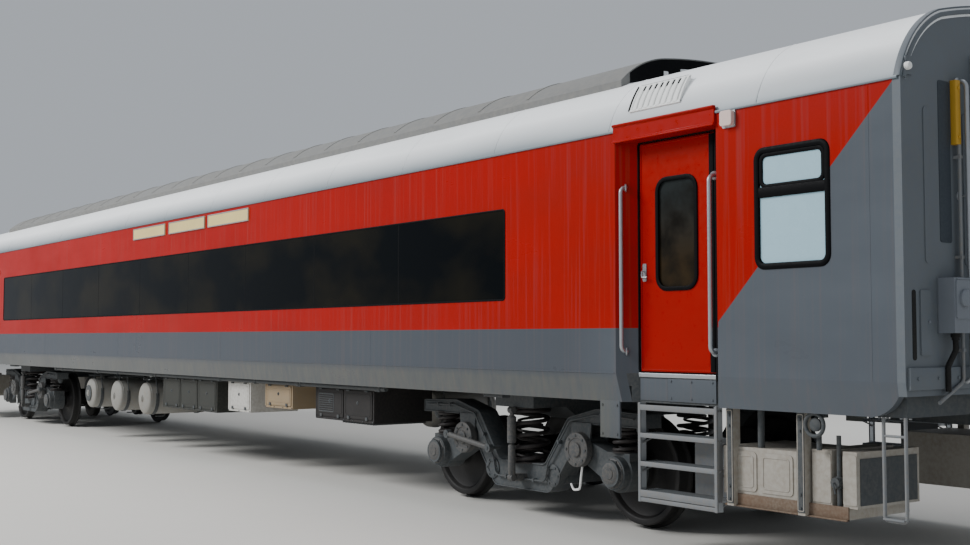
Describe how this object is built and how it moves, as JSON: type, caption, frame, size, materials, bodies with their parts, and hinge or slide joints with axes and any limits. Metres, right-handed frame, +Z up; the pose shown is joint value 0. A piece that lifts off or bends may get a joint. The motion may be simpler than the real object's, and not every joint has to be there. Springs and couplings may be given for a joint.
{
  "type": "railway passenger coach",
  "caption": "Steel-bodied railway passenger coach with flush dark window band, recessed inward doors, rubber gangways, centre couplers and coil-sprung bogies.",
  "frame": {"origin": "centre of the coach at the height of the lowest points of the wheel flanges", "axes": "+X along the length, +Y across to the far side, +Z up"},
  "size_m": [24, 3.33, 4.0675],
  "materials": {
    "body_paint": "satin two-colour coach paint",
    "roof_paint": "matt weathered roof paint",
    "coving_paint": "satin light grey",
    "end_paint": "satin dark grey",
    "door_paint": "satin red",
    "glass_dark": "dark tinted",
    "glass_frosted": "frosted",
    "rubber": "black moulded",
    "steel_tube": "brushed stainless",
    "frame_dark": "dusty dark grey",
    "box_dark": "dusty dark grey",
    "box_pale": "dusty off-white",
    "wheel_steel": "worn rolled steel",
    "spring_steel": "black painted springs",
    "board_cream": "cream yellow enamel",
    "lamp_lens": "milky lens",
    "unit_metal": "pressed sheet",
    "coupler_iron": "rough cast"
  },
  "bodies": {
    "coach": {"underframe": "frame_dark", "cross_bearers": "frame_dark", "floor": "frame_dark", "draft_pockets": "frame_dark", "roof_crown_sides": "roof_paint", "step_guards": "body_paint", "side_wall_near": "body_paint", "side_wall_far": "body_paint", "end_wall_front": "end_paint", "end_wall_rear": "end_paint", "roof_coving": "coving_paint", "roof_crown": "roof_paint", "roof_ends": "coving_paint", "air_conditioners": "unit_metal", "roof_louvres": "coving_paint", "saloon_glass": "glass_dark", "lavatory_frames": "rubber", "lavatory_panes": "glass_frosted", "door_hoods": "door_paint", "door_handrails": "steel_tube", "door_steps": "steel_tube", "gangway_front": "rubber", "gangway_rear": "rubber", "destination_boards": "board_cream", "indicator_lamps": "lamp_lens", "end_boxes": "box_dark", "end_handrails": "steel_tube", "stirrups": "frame_dark", "bolsters": "frame_dark", "battery_box": "box_dark", "charger_box": "box_pale", "brake_box": "box_pale", "inverter_box": "box_dark", "air_reservoirs": "box_dark", "corner_tanks": "box_pale", "brake_pipes": "frame_dark"},
    "bogie_front": {"bogie_frame_front": "frame_dark", "control_arms_front": "frame_dark", "springs_front": "spring_steel", "dampers_front": "frame_dark", "brakes_front": "frame_dark"},
    "bogie_rear": {"bogie_frame_rear": "frame_dark", "control_arms_rear": "frame_dark", "springs_rear": "spring_steel", "dampers_rear": "frame_dark", "brakes_rear": "frame_dark"},
    "wheelset_front_outer": {"wheelset_front_outer": "wheel_steel"},
    "wheelset_front_inner": {"wheelset_front_inner": "wheel_steel"},
    "wheelset_rear_inner": {"wheelset_rear_inner": "wheel_steel"},
    "wheelset_rear_outer": {"wheelset_rear_outer": "wheel_steel"},
    "door_near_front": {"door_near_front": "door_paint", "door_pane_near_front": "glass_dark"},
    "door_near_rear": {"door_near_rear": "door_paint", "door_pane_near_rear": "glass_dark"},
    "door_far_front": {"door_far_front": "door_paint", "door_pane_far_front": "glass_dark"},
    "door_far_rear": {"door_far_rear": "door_paint", "door_pane_far_rear": "glass_dark"},
    "coupler_front": {"coupler_front": "coupler_iron"},
    "coupler_rear": {"coupler_rear": "coupler_iron"}
  },
  "joints": [
    {"name": "bogie_front_turn", "type": "hinge", "parent": "coach", "child": "bogie_front", "pos_m": [7.45, 0, 0.9785], "axis": [0, 0, 1], "range_deg": [-4, 4]},
    {"name": "bogie_rear_turn", "type": "hinge", "parent": "coach", "child": "bogie_rear", "pos_m": [-7.45, 0, 0.9785], "axis": [0, 0, 1], "range_deg": [-4, 4]},
    {"name": "wheelset_front_outer_spin", "type": "hinge", "parent": "bogie_front", "child": "wheelset_front_outer", "pos_m": [8.73, 0, 0.486], "axis": [0, 1, 0], "continuous": true},
    {"name": "wheelset_front_inner_spin", "type": "hinge", "parent": "bogie_front", "child": "wheelset_front_inner", "pos_m": [6.17, 0, 0.486], "axis": [0, 1, 0], "continuous": true},
    {"name": "wheelset_rear_inner_spin", "type": "hinge", "parent": "bogie_rear", "child": "wheelset_rear_inner", "pos_m": [-6.17, 0, 0.486], "axis": [0, 1, 0], "continuous": true},
    {"name": "wheelset_rear_outer_spin", "type": "hinge", "parent": "bogie_rear", "child": "wheelset_rear_outer", "pos_m": [-8.73, 0, 0.486], "axis": [0, 1, 0], "continuous": true},
    {"name": "door_near_front_swing", "type": "hinge", "parent": "coach", "child": "door_near_front", "pos_m": [10.103, -1.422, 1.3485], "axis": [0, 0, -1], "range_deg": [0, 88]},
    {"name": "door_near_rear_swing", "type": "hinge", "parent": "coach", "child": "door_near_rear", "pos_m": [-10.103, -1.422, 1.3485], "axis": [0, 0, 1], "range_deg": [0, 88]},
    {"name": "door_far_front_swing", "type": "hinge", "parent": "coach", "child": "door_far_front", "pos_m": [10.103, 1.422, 1.3485], "axis": [0, 0, 1], "range_deg": [0, 88]},
    {"name": "door_far_rear_swing", "type": "hinge", "parent": "coach", "child": "door_far_rear", "pos_m": [-10.103, 1.422, 1.3485], "axis": [0, 0, -1], "range_deg": [0, 88]},
    {"name": "coupler_front_swing", "type": "hinge", "parent": "coach", "child": "coupler_front", "pos_m": [10.95, 0, 1.1335], "axis": [0, 0, 1], "range_deg": [-8, 8]},
    {"name": "coupler_rear_swing", "type": "hinge", "parent": "coach", "child": "coupler_rear", "pos_m": [-10.95, 0, 1.1335], "axis": [0, 0, 1], "range_deg": [-8, 8]}
  ]
}
